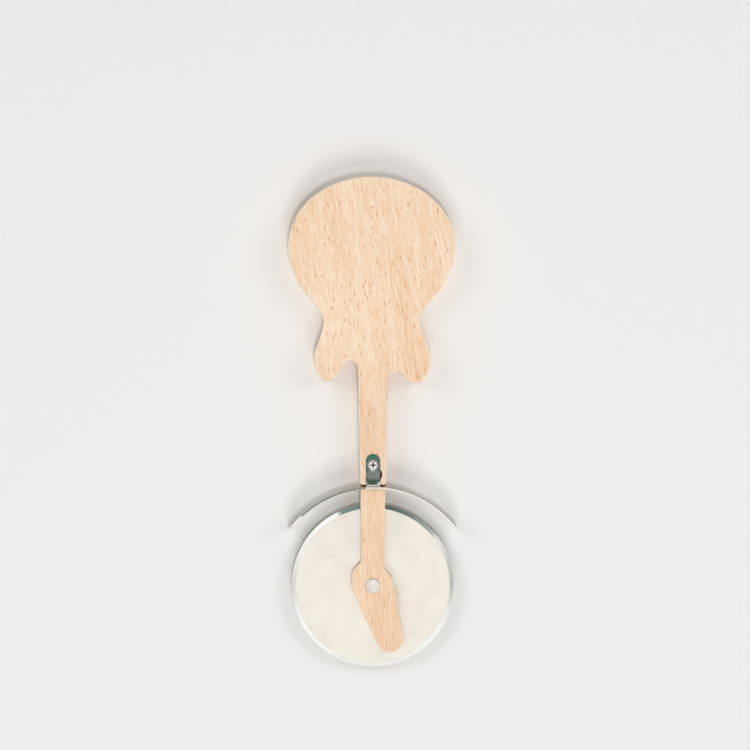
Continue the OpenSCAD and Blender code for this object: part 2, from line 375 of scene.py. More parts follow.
# Materials


def linear(code: str) -> tuple[float, float, float, float]:
    """Turns an sRGB hex colour into a linear one.

    Args:
        code: the colour, as #RRGGBB.

    Returns:
        Its linear red, green, blue and alpha.
    """
    shares = [int(code[i : i + 2], 16) / 255 for i in (1, 3, 5)]
    red, green, blue = (
        s / 12.92 if s <= 0.04045 else ((s + 0.055) / 1.055) ** 2.4 for s in shares
    )
    return red, green, blue, 1.0


def add_node(
    tree: bpy.types.NodeTree, kind: str, inputs: dict | None = None, **settings: object
) -> bpy.types.Node:
    """Adds a node with its settings and fills or links its inputs.

    Args:
        tree: the node tree.
        kind: the node's type, without its leading ShaderNode.
        inputs: for a socket's name or number, a value, or the output or the node that feeds it.
        **settings: the node's own properties.

    Returns:
        The node.
    """
    node = tree.nodes.new("ShaderNode" + kind)
    for name, value in settings.items():
        setattr(node, name, value)
    for key, value in (inputs or {}).items():
        if isinstance(value, bpy.types.Node):
            # A node stands for the first output that its settings leave in use
            value = next(socket for socket in value.outputs if socket.enabled)
        if isinstance(value, bpy.types.NodeSocket):
            tree.links.new(value, node.inputs[key])
        else:
            node.inputs[key].default_value = value
    return node


def start_nodes(owner: bpy.types.Material | bpy.types.World) -> Adder:
    """Empties a node tree, so that its nodes can be added.

    Args:
        owner: the material or world that has the tree.

    Returns:
        What add_node is for that tree.
    """
    owner.use_nodes = True
    owner.node_tree.nodes.clear()
    return partial(add_node, owner.node_tree)


def per_metre(*sides: float) -> tuple[float, ...]:
    """How many patches with sides in millimetres fill a metre, along each axis."""
    return tuple(1 / (MM * side) for side in sides)


@dataclass(frozen=True)
class RayFlecks:
    """Lens-shaped ray flecks, one in each patch of wood that isn't left bare.

    The patch is in millimetres across the grain, along it and into the board. The reach is half
    a fleck as a share of its patch, and left_out is the share of patches that stay bare.
    """

    patch: Corner
    reach: float
    left_out: float
    strength: float
    soft_rim: float = 1.6
    faint_share: float = 0.3

    def amount(self, add: Adder, along: bpy.types.Node) -> bpy.types.Node:
        """Draws the flecks.

        Args:
            add: adds a node to the material.
            along: the coordinates along the grain, in metres.

        Returns:
            The share of the flecks' colour, from 0 to their strength.
        """
        sized = add("Mapping", {0: along, "Scale": per_metre(*self.patch)})
        cell = add("TexVoronoi", {0: sized, "Scale": 1, "Exponent": 1.5}, distance="MINKOWSKI")
        mark = add(
            "MapRange", {0: cell, 1: self.reach, 2: self.reach * self.soft_rim, 3: 1.0, 4: 0.0}
        )
        chance = add("SeparateColor", {0: cell.outputs["Color"]})
        kept = add("MapRange", {0: chance, 1: self.left_out, 2: self.left_out + self.faint_share})
        drawn = add("Math", {0: mark, 1: kept}, operation="MULTIPLY")
        return add("Math", {0: drawn, 1: self.strength}, operation="MULTIPLY")


@dataclass(frozen=True)
class OiledBeech:
    """Steamed European beech, sawn along the grain, routed, sanded fine and lightly oiled.

    The eye sees a pale pinkish tan with short brown ray flecks along the grain, and a low sheen.
    Lengths are millimetres, a patch's across the grain, along it and into the board. Angles are
    degrees. The lines wander so many times to and fro in a metre.
    """

    name: str = "oiled_beech"
    light: str = "#FFE9CF"
    dark: str = "#F0C292"
    pale: str = "#FFF6E8"
    fleck: str = "#DC8A42"
    end_grain: str = "#A8713C"
    # Tint multiplied in as painted shade towards the headstock's end
    headstock_shade: str = "#F5EFE9"
    headstock_shade_from: float = 45
    grain_lean: float = 3
    grain_bend: float = 8
    length: float = 240
    wander: float = 1.6
    wanders: float = 28
    large_flecks: RayFlecks = RayFlecks((1.4, 7.0, 22), 0.15, 0.06, 0.74)
    small_flecks: RayFlecks = RayFlecks((0.85, 3.4, 11), 0.16, 0.1, 0.4)
    streak_patch: Corner = (0.42, 10, 0.8)
    streak_share: float = 0.9
    band_patch: Corner = (10, 80, 12)
    band_share: float = 0.42
    dark_tones: Point = (0.45, 0.88)
    pale_patch: Corner = (0.55, 4.5, 1.2)
    pale_tones: Point = (0.52, 0.72)
    pale_share: float = 0.55
    # Shares of the pale tint painted on the rounded rims and on the sides, as painted highlight
    rim_highlight_share: float = 0.7
    side_highlight_share: float = 0.2
    end_share: float = 0.6
    relief: float = 0.04
    fleck_depth: float = 0.8
    roughness: float = 0.42
    fleck_roughness: float = 0.12
    sheen: float = 0.5

    def material(self) -> bpy.types.Material:
        """Builds the wood from the board's own coordinates, so that it runs through every cut.

        Returns:
            The material.
        """
        material = bpy.data.materials.new(self.name)
        add = start_nodes(material)
        place = add("TexCoord").outputs["Object"]
        y = add("SeparateXYZ", {0: place}).outputs[1]
        along = self._along_grain(add, place, y)
        noises = []
        for patch, detail in ((self.streak_patch, 3), (self.band_patch, 1), (self.pale_patch, 2)):
            sized = add("Mapping", {0: along, "Scale": per_metre(*patch)})
            noises.append(add("TexNoise", {0: sized, "Scale": 1, "Detail": detail}))
        streak, band, pale = noises
        small, large = (
            flecks.amount(add, along) for flecks in (self.small_flecks, self.large_flecks)
        )
        share = add("Math", {0: small, 1: large}, operation="MAXIMUM")
        tone = add("Math", {0: streak, 1: self.streak_share}, operation="MULTIPLY")
        tone = add("Math", {0: band, 1: self.band_share, 2: tone}, operation="MULTIPLY_ADD")
        dark_from, dark_to = self.dark_tones
        tone = add("MapRange", {0: tone, 1: dark_from, 2: dark_to})
        pale_from, pale_to = self.pale_tones
        pale = add("MapRange", {0: pale, 1: pale_from, 2: pale_to, 4: self.pale_share})
        # Painted shade: the board turns a little browner towards the headstock's end
        inner = add("MapRange", {0: y, 1: self.headstock_shade_from * MM, 2: 0.0})
        # Painted highlight: rims and sides are mixed towards the pale tint; end grain is mixed
        # towards brown
        rim, wall = self._cut_faces(add)
        colour = linear(self.light)
        for amount, tint, way in (
            (tone, self.dark, "MIX"),
            (pale, self.pale, "MIX"),
            (inner, self.headstock_shade, "MULTIPLY"),
            (rim, self.pale, "MIX"),
            (wall, self.end_grain, "MIX"),
            (share, self.fleck, "MIX"),
        ):
            colour = add(
                "Mix", {0: amount, 6: colour, 7: linear(tint)}, data_type="RGBA", blend_type=way
            )
        # The flecks lie a little lower than the wood beside them
        relief = add("Math", {0: share, 1: -self.fleck_depth, 2: streak}, operation="MULTIPLY_ADD")
        bump = add("Bump", {"Height": relief, "Strength": 0.3, "Distance": self.relief * MM})
        rougher = self.roughness + self.fleck_roughness
        gloss = add("MapRange", {0: share, 3: self.roughness, 4: rougher})
        shader = add(
            "BsdfPrincipled",
            {
                "Base Color": colour, "Roughness": gloss, "Normal": bump, "IOR": 1.5,
                "Specular IOR Level": self.sheen,
            },
        )
        add("OutputMaterial", {"Surface": shader})
        return material

    def _cut_faces(self, add: Adder) -> tuple[bpy.types.Node, bpy.types.Node]:
        """Tells rims and end grain apart from the broad faces by which way the surface looks.

        Rounded rims, and the upright sides a little, are tinted paler as a painted highlight; end
        grain drinks more oil and turns brown.

        Args:
            add: adds a node to the material.

        Returns:
            The share of the rims' painted highlight and that of the end grain's tone.
        """
        normal = add("NewGeometry").outputs["Normal"]
        facing = add("VectorMath", {0: normal}, operation="ABSOLUTE")
        _, length_way, up = add("SeparateXYZ", {0: facing}).outputs
        # Painted highlight, strongest on the rounded rims, less on the upright sides, none on the
        # broad faces
        rim = add("MapRange", {0: up, 1: 0.1, 2: 0.6, 3: self.side_highlight_share, 4: self.rim_highlight_share})
        rim = add("MapRange", {0: up, 1: 0.99, 2: 0.9, 4: rim})
        end = add("MapRange", {0: length_way, 1: 0.45, 2: 0.85, 4: self.end_share})
        return rim, add("MapRange", {0: up, 1: 0.7, 2: 0.3, 4: end})

    def _along_grain(
        self, add: Adder, place: bpy.types.NodeSocket, y: bpy.types.NodeSocket
    ) -> bpy.types.Node:
        """Coordinates that wander, lean a little at the headstock and more up the body.

        Args:
            add: adds a node to the material.
            place: the board's coordinates, in metres.
            y: the one along the board.

        Returns:
            The coordinates along the grain.
        """
        length = self.length * MM
        start = math.tan(math.radians(self.grain_lean))
        more = math.tan(math.radians(self.grain_lean + self.grain_bend)) - start
        height = add("Math", {0: y, 1: length / 2}, operation="ADD")
        slope = add("Math", {0: height, 1: more / length / 2, 2: start}, operation="MULTIPLY_ADD")
        lean = add("Math", {0: height, 1: slope}, operation="MULTIPLY")
        shift = add("CombineXYZ", {0: lean})
        along = add("VectorMath", {0: place, 1: shift}, operation="ADD")
        noise = add("TexNoise", {0: along, "Scale": self.wanders, "Detail": 1})
        astray = add("VectorMath", {0: noise.outputs["Color"], 1: (0.5,) * 3}, operation="SUBTRACT")
        return add(
            "VectorMath", {0: astray, 1: (self.wander * MM,) * 3, 2: along},
            operation="MULTIPLY_ADD",
        )


class Marks(Enum):
    """Which way the last tool left its marks on a metal surface."""

    TURNED = "rings about the axle"
    ROLLED = "straight lines along the sheet"
    TUMBLED = "no direction"


@dataclass(frozen=True)
class Steel:
    """Bare metal, with the marks of the tool that finished it; sizes are millimetres.

    Real marks are some hundredths of a millimetre apart, too fine for the picture, so they are
    drawn as coarse as they need to be to show.
    """

    name: str
    colour: str
    roughness: float
    marks: Marks
    mark_size: float = 0.25
    mark_depth: float = 0.004
    cloud_size: float = 14
    cloud_share: float = 0.12
    mottle: float = 0.05

    def material(self, axle: Vector) -> bpy.types.Material:
        """Builds the metal, with turned marks centred on the axle.

        Args:
            axle: the axle's place in the frame, in metres.

        Returns:
            The material.
        """
        material = bpy.data.materials.new(self.name)
        add = start_nodes(material)
        own = add("TexCoord").outputs["Object"]
        marked = place = add("Mapping", {0: own, "Location": tuple(-axle)})
        if self.marks is Marks.TURNED:
            flat = add("VectorMath", {0: place, 1: (1, 1, 0)}, operation="MULTIPLY")
            reach = add("VectorMath", {0: flat}, operation="LENGTH")
            marked = add("CombineXYZ", {0: reach})
        elif self.marks is Marks.ROLLED:
            # Each line is far longer than it is wide
            marked = add("Mapping", {0: place, "Scale": (0.06, 1, 1)})
        mark_scale, cloud_scale = per_metre(self.mark_size, self.cloud_size)
        line = add("TexNoise", {0: marked, "Scale": mark_scale, "Detail": 2})
        cloud = add("TexNoise", {0: place, "Scale": cloud_scale, "Detail": 2})
        patch = add("Math", {0: line, 1: 0.5, 2: cloud}, operation="MULTIPLY_ADD")
        smooth, rough = (self.roughness * (1 + way * self.cloud_share) for way in (-1, 1))
        gloss = add("MapRange", {0: patch, 1: 0.45, 2: 1.05, 3: smooth, 4: rough})
        haze = add("MapRange", {0: patch, 1: 0.5, 2: 1.0, 4: self.mottle})
        colour = add("Mix", {0: haze, 6: linear(self.colour), 7: (0, 0, 0, 1)}, data_type="RGBA")
        bump = add("Bump", {"Height": line, "Strength": 0.4, "Distance": self.mark_depth * MM})
        shader = add(
            "BsdfPrincipled",
            {"Base Color": colour, "Metallic": 1.0, "Roughness": gloss, "Normal": bump},
        )
        add("OutputMaterial", {"Surface": shader})
        return material


@dataclass(frozen=True)
class Nylon:
    """Natural nylon, punched from sheet: off-white, waxy, with light soaking a little way in."""

    colour: str = "#EFEDE6"
    shade: str = "#DEDBD0"
    cloud_size: float = 2.5
    relief: float = 0.02
    roughness: float = 0.42
    soak: float = 0.4

    def material(self) -> bpy.types.Material:
        """Builds the plastic with faint clouds.

        Returns:
            The material.
        """
        material = bpy.data.materials.new("natural_nylon")
        add = start_nodes(material)
        place = add("TexCoord").outputs["Object"]
        (scale,) = per_metre(self.cloud_size)
        cloud = add("TexNoise", {0: place, "Scale": scale, "Detail": 3})
        colour = add(
            "Mix", {0: cloud, 6: linear(self.colour), 7: linear(self.shade)}, data_type="RGBA"
        )
        bump = add("Bump", {"Height": cloud, "Strength": 0.2, "Distance": self.relief * MM})
        shader = add(
            "BsdfPrincipled",
            {
                "Base Color": colour, "Roughness": self.roughness, "IOR": 1.53, "Normal": bump,
                "Subsurface Weight": 0.2, "Subsurface Scale": self.soak * MM,
            },
        )
        add("OutputMaterial", {"Surface": shader})
        return material


# Sub-assemblies


@dataclass
class Shop:
    """Where pieces are put into the frame: the axle's place, and the finishes."""

    axle: Vector
    pieces: list[str] = field(default_factory=list)

    def fit(
        self, piece: bpy.types.Object, finishes: Sequence[bpy.types.Material],
        body: str, nodes: Sequence[str], sharp: float = 35,
    ) -> bpy.types.Object:
        """Moves a finished mesh into the frame and gives it its finishes and its body.

        Args:
            piece: the piece, in millimetres from the axle.
            finishes: its materials, in the order of its faces' material numbers.
            body: the CAD body it rides on.
            nodes: the CAD nodes it stands for.
            sharp: edges that bend more than this, in degrees, stay crisp.

        Returns:
            The piece.
        """
        place = Matrix.Translation((0, self.axle.y, 0)) @ Matrix.Diagonal((MM, MM, MM, 1))
        piece.data.transform(place)
        numbers = [face.material_index for face in piece.data.polygons]
        piece.data.materials.clear()
        for finish in finishes:
            piece.data.materials.append(finish)
        piece.data.polygons.foreach_set("material_index", numbers)
        piece.data.shade_smooth()
        piece.data.set_sharp_from_angle(angle=math.radians(sharp))
        even = piece.modifiers.new("even_faces", "WEIGHTED_NORMAL")
        even.keep_sharp = True
        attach(piece, body)
        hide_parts(*nodes)
        self.pieces.append(piece.name)
        LOG.info("%s: %d faces, rides on %s", piece.name, len(piece.data.polygons), body)
        return piece


@dataclass
class Handle:
    """The one-piece board: a guitar body, a neck, and a forked leg that ends in a headstock."""

    body_w: float = 82.1
    thickness: float = 15
    bout_top: float = 34.1
    bout_low: float = 38.3
    horn_drop: float = 67.6
    cut_left_r: float = 3.6
    cut_right_r: float = 4.2
    edge_r: float = 0.8
    neck_len: float = 50
    neck_top_w: float = 14.6
    neck_end_w: float = 12.7
    shoulder_r: float = 1.5
    step_in: float = 3
    leg_w: float = 12.3
    leg_low_w: float = 11.7
    head_len: float = 33.4
    head_w: float = 22.4
    leg_edge_r: float = 0.6
    shoulder_y: float = 49.7
    wheel_z: float = 7.5
    kerf_w: float = 2.6
    kerf_r: float = 43
    groove_w: float = 7.3
    groove_end: float = 61.4
    runout_depth: float = 0.9
    runout_len: float = 5
    runout_drop: float = 3
    lip_r: float = 1.2
    # The shallow cut in the gap at the guard, which only carries painted shade
    gap_shade_depth: float = 0.3
    gap_shade_w: float = 1.5
    bore_r: float = 2.55
    pilot_r: float = 1.3
    pilot_floor: float = 4.3
    screw_y: float = 59.4
    eased: float = 0.18

    def build(self, shop: Shop) -> None:
        """Saws the board, cuts the kerf, the groove and the bores, and eases the cut edges.

        Args:
            shop: puts the finished pieces into the frame.
        """
        wood = blank(board(self.body_corners(), 0, self.thickness, self.edge_r), "beech_handle")
        floor = self.thickness - self.step_in
        leg = board(self.leg_corners(), self.step_in, floor, self.leg_edge_r)
        carve(wood, blank(leg, "leg"), "UNION")
        for tool in self.tools(floor):
            carve(wood, tool)
        soften(wood, self.eased, 2, self.eased_share)
        # The run-out's deep end and the shallow cut in the gap at the guard are painted dark brown,
        # as painted shade in those narrow gaps
        painted_shade = OiledBeech(
            "scorched_beech", "#93501A", "#6C380E", "#965A20", "#5A2E0C", "#5A2E0C",
            roughness=0.8, sheen=0.04,
        )
        finishes = [OiledBeech().material(), painted_shade.material()]
        shop.fit(wood, finishes, "handle", ["handle"], sharp=40)

    def tools(self, floor: float) -> Iterator[bpy.types.Object]:
        """Shapes of all that is cut from the board, in the order of the cuts.

        Args:
            floor: height of the leg's front and of the groove's floor.

        Yields:
            The next tool, with marked faces where its cut takes the painted shade.
        """
        yield blank(rod(self.kerf_r, *self.kerf_walls(), 240), "kerf")
        above = self.thickness + 1
        yield blank(board(self.groove_corners(), floor, above), "groove")
        # The run-out's deep end, whose marked faces take the painted shade
        pocket = board(self.pocket_corners(), floor - self.runout_drop, floor + 1)
        yield mark_faces(blank(pocket, "run_out"))
        # A shallow cut across the gap between the neck's end and the guard, whose marked faces take
        # the painted shade
        half, low = self.leg_w, self.shoulder_y - 1
        high = low + self.gap_shade_w
        across = [(-half, low, 0), (half, low, 0), (half, high, 0), (-half, high, 0)]
        yield mark_faces(blank(board(across, floor - self.gap_shade_depth, floor + 0.01), "gap_shade_cut"))
        yield blank(rod(self.bore_r, 1, self.thickness), "bore")
        pilot = rod(self.pilot_r, self.pilot_floor, self.thickness)
        yield blank(pilot, "pilot", Vector((0, self.screw_y, 0)))

    def kerf_walls(self) -> tuple[float, float]:
        """Heights of the back and the front wall of the kerf."""
        return self.wheel_z - self.kerf_w / 2, self.wheel_z + self.kerf_w / 2

    def eased_share(self, edge: BMEdge) -> float:
        """Takes the sharpness off the edges of the groove and of the kerf, as sandpaper does.

        Args:
            edge: an edge of the cut handle.

        Returns:
            1 for the long cut edges, 0 for the others.
        """
        heights = [v.co.z for v in edge.verts]
        level = min((self.thickness, *self.kerf_walls()), key=lambda z: abs(z - heights[0]))
        crisp = edge.calc_face_angle_signed(0) > math.radians(60)
        round_hole = edge.verts[0].co.length < 2 * self.bore_r
        return float(crisp and not round_hole and all(abs(z - level) < LEVEL for z in heights))

    def body_corners(self) -> list[Corner]:
        """Corners of the body and neck, anticlockwise from the right of the shoulder.

        Returns:
            The x, y and radius of each corner.
        """
        half = self.body_w / 2
        horn_y = self.shoulder_y + self.neck_len
        wide_y = horn_y + self.horn_drop
        middle = -0.0155 * half

        def corner(x: float, y: float, r: float) -> Corner:
            """A corner from shares of the half width and of the horns' drop."""
            return middle + x * half, wide_y - y * self.horn_drop, r * half

        def neck_half(y: float) -> float:
            """Half width of the tapered neck at a height."""
            share = (y - self.shoulder_y) / self.neck_len
            return (self.neck_end_w + (self.neck_top_w - self.neck_end_w) * share) / 2

        def touch(at: Corner, side: int) -> float:
            """Angle at which a line from a corner touches the lower half of the bout."""
            u, v = (at[0] - middle) / half, (at[1] - wide_y) / self.bout_low
            return math.degrees(math.atan2(v, u) + side * math.acos(1 / math.hypot(u, v)))

        waist_right, waist_left = corner(0.552, 0.512, 0.21), corner(-0.542, 0.52, 0.288)
        start, end = touch(waist_right, 1), touch(waist_left, -1) + 360
        sides = math.ceil((end - start) / 2.5)
        bout = []
        for i in range(sides + 1):
            a = math.radians(start + (end - start) * i / sides)
            reach = self.bout_top if math.sin(a) > 0 else self.bout_low
            bout.append((middle + half * math.cos(a), wide_y + reach * math.sin(a), 0.0))
        cut_left_y = wide_y - 0.715 * self.horn_drop
        cut_right_y = wide_y - 0.813 * self.horn_drop
        return [
            (neck_half(self.shoulder_y), self.shoulder_y, self.shoulder_r),
            (neck_half(cut_right_y), cut_right_y, self.cut_right_r),
            corner(0.561, 1.076, 0.141),
            corner(0.732, 0.845, 0.382),
            waist_right,
            *bout,
            waist_left,
            corner(-0.699, 0.807, 0.247),
            corner(-0.6, 1.122, 0.136),
            (-neck_half(cut_left_y), cut_left_y, self.cut_left_r),
            (-neck_half(self.shoulder_y), self.shoulder_y, self.shoulder_r),
        ]

    def leg_corners(self) -> list[Corner]:
        """Corners of the leg and headstock, anticlockwise from the right of its root.

        Returns:
            The x, y and radius of each corner.
        """
        half = self.head_w / 2
        root_y = self.shoulder_y + 2 * self.edge_r
        head = [
            (-0.907, 0.216, 0.21),
            (-0.96, -0.022, 0.95),
            (0.133, -0.826, 0.37),
            (0.458, -0.975, 0.58),
            (1.078, -0.991, 0.45),
            (1.336, -0.811, 0.5),
            (1.309, -0.662, 1.11),
            (1.11, -0.356, 1.1),
            (1.065, -0.129, 1.11),
            (0.845, 0.124, 0.16),
        ]
        return [
            (self.leg_w / 2, root_y, 0),
            (-self.leg_w / 2, root_y, 0),
            (-self.leg_w / 2, self.shoulder_y, 0),
            (-self.leg_low_w / 2, 0.363 * self.head_len, 0.09 * half),
            *((x * half, y * self.head_len, r * half) for x, y, r in head),
            (self.leg_low_w / 2, 0.253 * self.head_len, 0.09 * half),
            (self.leg_w / 2, self.shoulder_y, 0),
        ]

    def runout_arc(self) -> list[Corner]:
        """The cutter's run-out: the chord of a round cutter in the right wall of the groove.

        Returns:
            The x, y and radius of each corner.
        """
        depth, reach = self.runout_depth, self.runout_len / 2
        radius = (reach * reach + depth * depth) / (2 * depth)
        middle = self.shoulder_y + self.runout_len
        centre_x = self.groove_w / 2 + depth - radius
        steps = [reach * (i / 4 - 1) for i in range(9)]
        return [(centre_x + math.sqrt(radius**2 - step**2), middle + step, 0.0) for step in steps]

    def pocket_corners(self) -> list[Corner]:
        """Corners of the deep end of the run-out, anticlockwise.

        Returns:
            The x, y and radius of each corner.
        """
        inner = self.groove_w / 2 - self.runout_depth
        arc = self.runout_arc()
        return [(inner, arc[0][1], 0.0), *arc, (inner, arc[-1][1], 0.0)]

    def groove_corners(self) -> list[Corner]:
        """Corners of the routed groove, anticlockwise from the right of its mouth.

        Returns:
            The x, y and radius of each corner.
        """
        half = self.groove_w / 2
        mouth = self.shoulder_y - 1
        lip = self.shoulder_y + self.lip_r
        turns = [math.radians(6 * i) for i in range(31)]
        end = [(half * math.cos(a), self.groove_end + half * math.sin(a), 0.0) for a in turns]
        right_lip, left_lip = [], []
        for i in range(7):
            a = math.radians(15 * i)
            out = self.lip_r * (1 - math.sin(a))
            up = self.lip_r * (1 - math.cos(a))
            right_lip.append((half + out, self.shoulder_y + up, 0.0))
            left_lip.append((-half - out, self.shoulder_y + up, 0.0))
        return [
            (half + self.lip_r, mouth, 0.0),
            *right_lip,
            *self.runout_arc(),
            *end,
            (-half, lip, 0.0),
            *left_lip[-2::-1],
            (-half - self.lip_r, mouth, 0.0),
        ]


@dataclass
class Guard:
    """The curved strip over the wheel, the tongue bent out of its notch, and its fixing."""

    width: float = 16
    sheet: float = 0.8
    out_r: float = 51.8
    out_y: float = 48.7
    span: float = 83.4
    corner_r: float = 3
    notch_w: float = 12.9
    notch_top: float = 12.05
    tongue_w: float = 7
    tongue_len: float = 16.2
    bend_r: float = 2.3
    seat_z: float = 12.8
    middle_w: float = 4.4
    lift: float = 0.0478
    crease_y: float = 57.2
    dragged: float = 0.6
    tongue_burr: float = 0.42
    plain_share: float = 0.33
    die_roll: float = 0.22
    shear_x: float = -3.35
    shear_step: float = 0.08
    left_lean: float = 0.25
    lean_grows: Point = (-34, -37)
    hole_r: float = 1.55
    screw_y: float = 59.4
    washer_d: float = 6
    washer_t: float = 0.5
    washer_drop: float = 0.11
    head_d: float = 4.8
    head_h: float = 1.8
    recess_reach: float = 1.6
    recess_half: float = 0.48
    recess_depth: float = 1.7
    recess_taper: float = 0.6
    shank_d: float = 2.5
    shank_len: float = 9

    def build(self, shop: Shop) -> None:
        """Makes the guard, the washer and the screw.

        Args:
            shop: puts the finished pieces into the frame.
        """
        # Rolled and polished sheet mirrors the room crisply, its sheared edge more brightly still
        polished = Steel("polished_stainless_sheet", "#E6E6E2", 0.05, Marks.ROLLED, 0.2, 0.001)
        sheared = Steel("sheared_stainless_edge", "#F8F5EE", 0.06, Marks.TUMBLED, 0.3, 0.0005)
        # Plating gives the screw a soft bright sheen; its deep recess is painted near black, a
        # painted shade
        bright = Steel("bright_plated_screw", "#FAF8F4", 0.54, Marks.TUMBLED, 0.4, 0.003)
        recess_shade = Steel("punched_recess", "#3A2F28", 0.5, Marks.TUMBLED, 0.3, 0.01)
        sheet, edge = (finish.material(shop.axle) for finish in (polished, sheared))
        guard = self.strip()
        hole = rod(self.hole_r, self.seat_z - 3, self.seat_z + 2)
        carve(guard, blank(hole, "hole", Vector((0, self.screw_y, 0))))
        soften(guard, self.tongue_burr, 3, self.burr_share, finish=1)
        shop.fit(guard, [sheet, edge], "handle", ["guard"])
        at_screw = Vector((0, self.screw_y, self.seat_z))
        washer = blank(self.washer(), "plain_washer", at_screw)
        shop.fit(washer, [sheet], "handle", ["guard_washer"])
        screw = self.screw(at_screw + Vector((0, 0, self.washer_t)))
        finishes = [bright.material(shop.axle), recess_shade.material(shop.axle)]
        shop.fit(screw, finishes, "handle", ["guard_screw"])

    def strip(self) -> bpy.types.Object:
        """Spins the strip, cuts the notch, bends the tongue out and thickens the sheet.

        Returns:
            The guard, in millimetres.
        """
        bm = bmesh.new()
        half_turn, notch_turn, tongue_turn, middle_turn = (
            math.degrees(math.asin(width / 2 / self.out_r))
            for width in (self.span, self.notch_w, self.tongue_w, self.middle_w)
        )
        centre = Vector((0, self.out_y - self.out_r, 0))
        tip = centre + Matrix.Rotation(math.radians(half_turn), 3, "Z") @ Vector((0, self.out_r, 0))
        rows = [bm.verts.new((tip.x, tip.y, z)) for z in (0, self.notch_top, self.width)]
        last = rows + [bm.edges.new(pair) for pair in zip(rows, rows[1:])]
        corner_turn = 4
        left = (
            (corner_turn, 1),
            (half_turn - notch_turn - corner_turn, 24),
            (notch_turn - tongue_turn, 2),
            (tongue_turn - middle_turn, 1),
        )
        for turn, steps in (*left, (2 * middle_turn, 1), *left[::-1]):
            last = bmesh.ops.spin(
                bm, geom=last, cent=centre, axis=(0, 0, 1), angle=-math.radians(turn), steps=steps
            )["geom_last"]
        bmesh.ops.remove_doubles(bm, verts=bm.verts, dist=SAME)
        notched = [
            f for f in bm.faces
            if abs(f.calc_center_median().x) < self.notch_w / 2
            and f.calc_center_median().z < self.notch_top
        ]
        bmesh.ops.delete(bm, geom=notched, context="FACES")
        corners = [
            v for v in bm.verts
            if abs(abs(v.co.x) - self.span / 2) < LEVEL and v.co.z in (0, self.width)
        ]
        bmesh.ops.bevel(
            bm, geom=corners, offset=self.corner_r, offset_type="OFFSET", affect="VERTICES",
            segments=8, profile=0.5, material=-1, clamp_overlap=True,
        )
        self.bend_tongue(bm)
        guard = blank(bm, "steel_guard")
        self.face_outwards(guard)
        thick = guard.modifiers.new("sheet", "SOLIDIFY")
        thick.thickness = self.sheet
        thick.offset = -1
        thick.use_even_offset = True
        thick.material_offset_rim = 1
        bake(guard)
        self.roll_edge(guard)
        return guard

    def tongue_z(self, y: float) -> float:
        """Height of the tongue's front, which curves up from its crease to the bend."""
        return self.seat_z + self.lift * max(0.0, self.crease_y - y) ** 1.5

    def burr_share(self, edge: BMEdge) -> float:
        """How round the shears and the tumbling leave an edge, most along the tongue.

        Args:
            edge: an edge of the guard.

        Returns:
            The share of the tongue's rounding.
        """
        if abs(edge.calc_face_angle_signed(0)) < math.radians(50):
            return 0.0
        middle = (edge.verts[0].co + edge.verts[1].co) / 2
        along_tongue = self.in_tongue(middle) and middle.y > self.out_y + 1.5
        return 1.0 if along_tongue else self.plain_share

    def in_tongue(self, point: Vector) -> bool:
        """Whether a point lies between the sides of the tongue."""
        return abs(point.x) < self.tongue_w / 2 + 0.01

    def bend_tongue(self, bm: BMesh) -> None:
        """Opens the strip above the notch and turns the tongue out of it, with a round end.

        The tongue curves down from its bend and lies flat from where the washer presses it.

        Args:
            bm: the strip's outer side.
        """
        half = self.tongue_w / 2
        # The bend ends where it meets the slope of the tongue's curve
        fall = self.crease_y - self.out_y - self.bend_r
        swing = math.radians(90) - math.atan(1.5 * self.lift * math.sqrt(fall))
        flat = [v for v in bm.verts if self.in_tongue(v.co)]
        root_y = min(v.co.y for v in flat)
        for v in flat:
            v.co.y = root_y
        start_y = root_y + self.bend_r * (1 - math.cos(swing))
        bend_z = self.tongue_z(start_y) + self.bend_r * math.sin(swing)
        middle = [f for f in bm.faces if abs(f.calc_center_median().x) < half - 0.1]
        divide(bm, middle, (0, 0, bend_z), (0, 0, 1))
        below = [
            f for f in bm.faces
            if abs(f.calc_center_median().x) < half - 0.1 and f.calc_center_median().z < bend_z
        ]
        bmesh.ops.delete(bm, geom=below, context="FACES")
        root = [
            e for e in bm.edges
            if all(abs(v.co.z - bend_z) < LEVEL and self.in_tongue(v.co) for v in e.verts)
        ]
        last = bmesh.ops.spin(
            bm, geom=[*root, *{v for e in root for v in e.verts}],
            cent=(0, root_y + self.bend_r, bend_z), axis=(1, 0, 0), angle=swing, steps=10,
        )["geom_last"]
        # Rows of faces close enough for the curve, with a narrow one at the crease
        rows = [start_y + 0.5, start_y + 1.1]
        rows += [self.crease_y - 0.5 * i for i in range(8, 0, -1)]
        for y in (*rows, self.crease_y + 0.1, self.out_y + self.tongue_len - half):
            line = [e for e in last if isinstance(e, BMEdge)]
            last = bmesh.ops.extrude_edge_only(bm, edges=line)["geom"]
            for v in (v for v in last if isinstance(v, BMVert)):
                v.co.z = self.tongue_z(y)
                v.co.y = y
        # The corners of the bend are dragged up with the strip
        for v in bm.verts:
            away = (v.co.y - start_y) / 1.05
            if abs(abs(v.co.x) - half) < 0.02 and abs(away) < 1:
                v.co.z += self.dragged * (1 - away * away)
        ends = sorted((v for v in last if isinstance(v, BMVert)), key=lambda v: v.co.x)
        arc = spun_arc(bm, ends[-1].co, Vector((0, ends[0].co.y, self.seat_z)), 180, 6)
        bm.faces.new([*ends[1:-1], *arc])
        bmesh.ops.remove_doubles(bm, verts=bm.verts, dist=LEVEL)

    def roll_edge(self, guard: bpy.types.Object) -> None:
        """Leans the sheared front edge towards the wheel, but outwards on the left arm.

        Args:
            guard: the thickened guard.
        """
        middle_r = self.out_r - self.sheet / 2
        with opened(guard) as bm:
